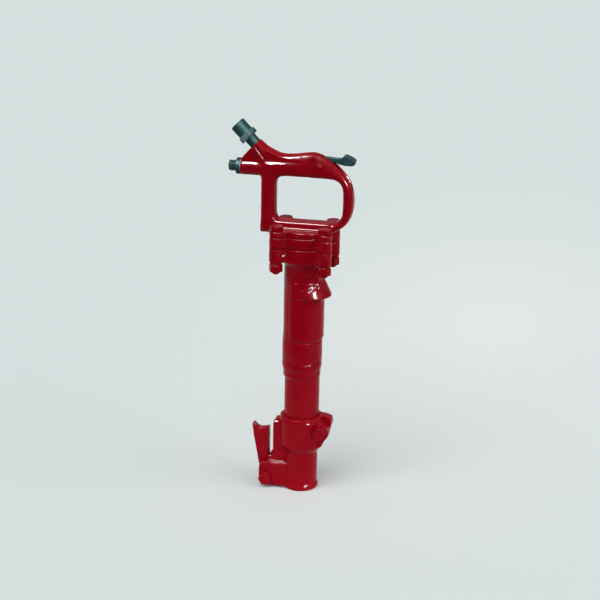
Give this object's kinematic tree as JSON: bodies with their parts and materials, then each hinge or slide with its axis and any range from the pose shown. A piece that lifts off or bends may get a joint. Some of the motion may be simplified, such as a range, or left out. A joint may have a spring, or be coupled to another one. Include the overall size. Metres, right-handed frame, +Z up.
{
  "type": "pneumatic clay digger",
  "caption": "Hand-held pneumatic clay digger with a D-handle, squeeze throttle lever, slanted air inlet, bolted valve chest, cylinder, and a clamped latch retainer for a collared steel",
  "frame": {"origin": "on the ground under the middle of the tool's width and depth, in the plane of the retainer's rim", "axes": "+Z up along the tool, +X towards the throttle lever and the clamp bolt, -X towards the air inlet and the latch, -Y towards the side shown in the picture"},
  "size_m": [0.1956, 0.0856, 0.5889],
  "materials": {
    "red_paint": "deep red gloss enamel over rough cast steel, brushed over bolts and pins too",
    "blackened_steel": "dark blue-green blackened steel, satin",
    "bare_steel": "bare oiled steel, ground and turned",
    "seal_rubber": "black nitrile, matt"
  },
  "bodies": {
    "tool_body": {"latch_retainer": "red_paint", "cylinder": "red_paint", "valve_chest": "red_paint", "d_handle": "red_paint", "lever_pin": "red_paint", "lever_stop_pin": "red_paint", "clamp_bolt": "red_paint", "clamp_washer": "red_paint", "clamp_nut": "red_paint", "latch_bolt": "red_paint", "latch_nut": "red_paint", "latch_stop_pin": "red_paint", "side_bolt_front_left": "red_paint", "side_bolt_front_right": "red_paint", "side_bolt_rear_left": "red_paint", "side_bolt_rear_right": "red_paint", "side_nut_front_left": "red_paint", "side_nut_front_right": "red_paint", "side_nut_rear_left": "red_paint", "side_nut_rear_right": "red_paint", "lock_washer_front_left": "red_paint", "lock_washer_front_right": "red_paint", "lock_washer_rear_left": "red_paint", "lock_washer_rear_right": "red_paint", "throttle_plug": "blackened_steel", "inlet_nipple": "blackened_steel", "front_bushing": "bare_steel", "valve_seat_plate": "bare_steel", "valve_cap": "bare_steel", "valve_dowel": "bare_steel", "throttle_seat": "bare_steel", "throttle_spring": "bare_steel", "inlet_strainer": "bare_steel", "latch_spring": "bare_steel", "push_rod_seal": "seal_rubber", "plug_seal": "seal_rubber"},
    "lever": {"throttle_lever": "blackened_steel"},
    "throttle_valve_body": {"throttle_valve": "seal_rubber", "push_rod": "bare_steel"},
    "piston_body": {"piston": "bare_steel"},
    "flapper_body": {"flapper_valve": "bare_steel"},
    "latch_body": {"latch": "red_paint"}
  },
  "joints": [
    {"name": "lever_squeeze", "type": "hinge", "parent": "tool_body", "child": "lever", "pos_m": [0.04503, 0, 0.5241], "axis": [0, 1, 0], "range_deg": [0, 15], "stiffness_Nm_per_rad": 0.6, "springref_deg": -11.46},
    {"name": "throttle_slide", "type": "slide", "parent": "tool_body", "child": "throttle_valve_body", "axis": [-1, 0, 0], "range_m": [0, 0.002], "deforming": ["throttle_spring"]},
    {"name": "piston_stroke", "type": "slide", "parent": "tool_body", "child": "piston_body", "axis": [0, 0, 1], "range_m": [0, 0.117]},
    {"name": "flapper_lift", "type": "slide", "parent": "tool_body", "child": "flapper_body", "axis": [0, 0, 1], "range_m": [0, 0.0012]},
    {"name": "latch_swing", "type": "hinge", "parent": "tool_body", "child": "latch_body", "pos_m": [-0.03047, 0, 0.0152], "axis": [0, -1, 0], "range_deg": [0, 16], "stiffness_Nm_per_rad": 3, "springref_deg": -17.19, "deforming": ["latch_spring"]}
  ],
  "couplings": [
    {"joint": "throttle_slide", "follows": "lever_squeeze", "m_per_rad": 0.0076}
  ]
}
